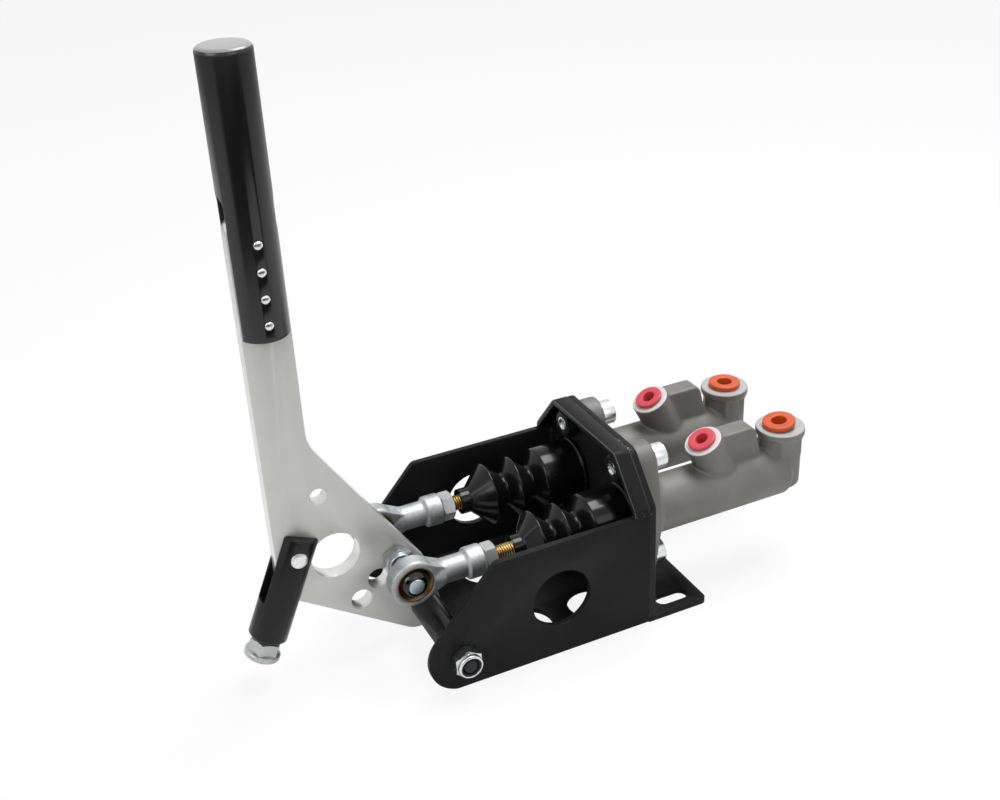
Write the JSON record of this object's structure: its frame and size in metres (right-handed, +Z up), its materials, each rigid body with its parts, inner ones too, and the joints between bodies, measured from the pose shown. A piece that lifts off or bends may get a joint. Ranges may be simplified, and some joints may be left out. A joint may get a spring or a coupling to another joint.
{
  "type": "parking brake lever",
  "caption": "Upright hydraulic hand brake: a flat lever with a round grip turns in a folded bracket and pushes side-by-side master cylinders through rod ends.",
  "frame": {"origin": "on the underside of the bracket, at the centre of the four base slots", "axes": "+X from the lever towards the cylinders, +Y across the bracket, +Z up along the base bolts"},
  "size_m": [0.3, 0.1178, 0.303],
  "materials": {
    "bracket_paint": "satin",
    "cast_aluminium": "blasted casting",
    "zinc_steel": "bright zinc",
    "outlet_plug": "gloss",
    "inlet_plug": "gloss",
    "spring_steel": "plain",
    "boot_rubber": "smooth moulded",
    "dark_steel": "black oxide",
    "nylon": "moulded",
    "bronze": "plain",
    "lever_aluminium": "satin",
    "grip_finish": "black anodised",
    "rivet_aluminium": "bright",
    "stud_steel": "bright zinc",
    "ball_chrome": "polished",
    "rod_end_steel": "satin zinc",
    "yellow_zinc": "yellow zinc",
    "piston_aluminium": "anodised"
  },
  "bodies": {
    "bracket": {"base_channel": "bracket_paint", "end_plate": "bracket_paint", "end_strap": "bracket_paint", "weld_nuts": "bracket_paint", "master_cylinder_left": "cast_aluminium", "master_cylinder_right": "cast_aluminium", "cylinder_bolts": "zinc_steel", "outlet_plug_left": "outlet_plug", "outlet_plug_right": "outlet_plug", "inlet_plug_left": "inlet_plug", "inlet_plug_right": "inlet_plug", "circlip_left": "spring_steel", "circlip_right": "spring_steel", "retaining_washer_left": "spring_steel", "retaining_washer_right": "spring_steel", "return_spring_left": "spring_steel", "return_spring_right": "spring_steel", "boot_left": "boot_rubber", "boot_right": "boot_rubber", "pivot_bolt": "dark_steel", "pivot_nut": "zinc_steel", "pivot_nut_insert": "nylon", "pivot_sleeve_left": "dark_steel", "pivot_sleeve_right": "dark_steel", "pivot_bush": "bronze"},
    "lever": {"lever_plate": "lever_aluminium", "grip": "grip_finish", "grip_rivets": "rivet_aluminium", "stop_tube": "grip_finish", "stop_pin": "rivet_aluminium", "link_stud": "stud_steel", "stud_nuts": "zinc_steel", "stud_nut_inserts": "nylon", "rod_end_ball_left": "ball_chrome", "rod_end_ball_right": "ball_chrome"},
    "stop_screw": {"stop_screw": "zinc_steel"},
    "pushrod_left": {"rod_end_left": "rod_end_steel", "rod_end_race_left": "bronze", "jam_nut_left": "rod_end_steel", "pushrod_left": "yellow_zinc"},
    "piston_left": {"piston_left": "piston_aluminium", "primary_seal_left": "boot_rubber", "secondary_seal_left": "boot_rubber", "spring_guide_left": "spring_steel"},
    "pushrod_right": {"rod_end_right": "rod_end_steel", "rod_end_race_right": "bronze", "jam_nut_right": "rod_end_steel", "pushrod_right": "yellow_zinc"},
    "piston_right": {"piston_right": "piston_aluminium", "primary_seal_right": "boot_rubber", "secondary_seal_right": "boot_rubber", "spring_guide_right": "spring_steel"}
  },
  "joints": [
    {"name": "lever_pivot", "type": "hinge", "parent": "bracket", "child": "lever", "pos_m": [-0.0756, 0, 0.0176], "axis": [0, 1, 0], "range_deg": [0, 25], "stiffness_Nm_per_rad": 6, "springref_deg": -22.92, "deforming": ["boot_left", "boot_right"]},
    {"name": "stop_screw_adjust", "type": "slide", "parent": "lever", "child": "stop_screw", "axis": [-0.3939, 0, -0.9191], "range_m": [-0.001, 0.012]},
    {"name": "pushrod_left_tilt", "type": "hinge", "parent": "lever", "child": "pushrod_left", "pos_m": [-0.0886, 0.0256, 0.05], "axis": [0, 1, 0], "range_deg": [-24, 0]},
    {"name": "piston_left_slide", "type": "slide", "parent": "bracket", "child": "piston_left", "axis": [1, 0, 0], "range_m": [0, 0.015], "deforming": ["return_spring_left"]},
    {"name": "pushrod_right_tilt", "type": "hinge", "parent": "lever", "child": "pushrod_right", "pos_m": [-0.0886, -0.0256, 0.05], "axis": [0, 1, 0], "range_deg": [-24, 0]},
    {"name": "piston_right_slide", "type": "slide", "parent": "bracket", "child": "piston_right", "axis": [1, 0, 0], "range_m": [0, 0.015], "deforming": ["return_spring_right"]}
  ],
  "couplings": [
    {"joint": "pushrod_left_tilt", "follows": "lever_pivot", "ratio": -0.944},
    {"joint": "piston_left_slide", "follows": "lever_pivot", "m_per_rad": 0.0337},
    {"joint": "pushrod_right_tilt", "follows": "lever_pivot", "ratio": -0.944},
    {"joint": "piston_right_slide", "follows": "lever_pivot", "m_per_rad": 0.0337}
  ]
}
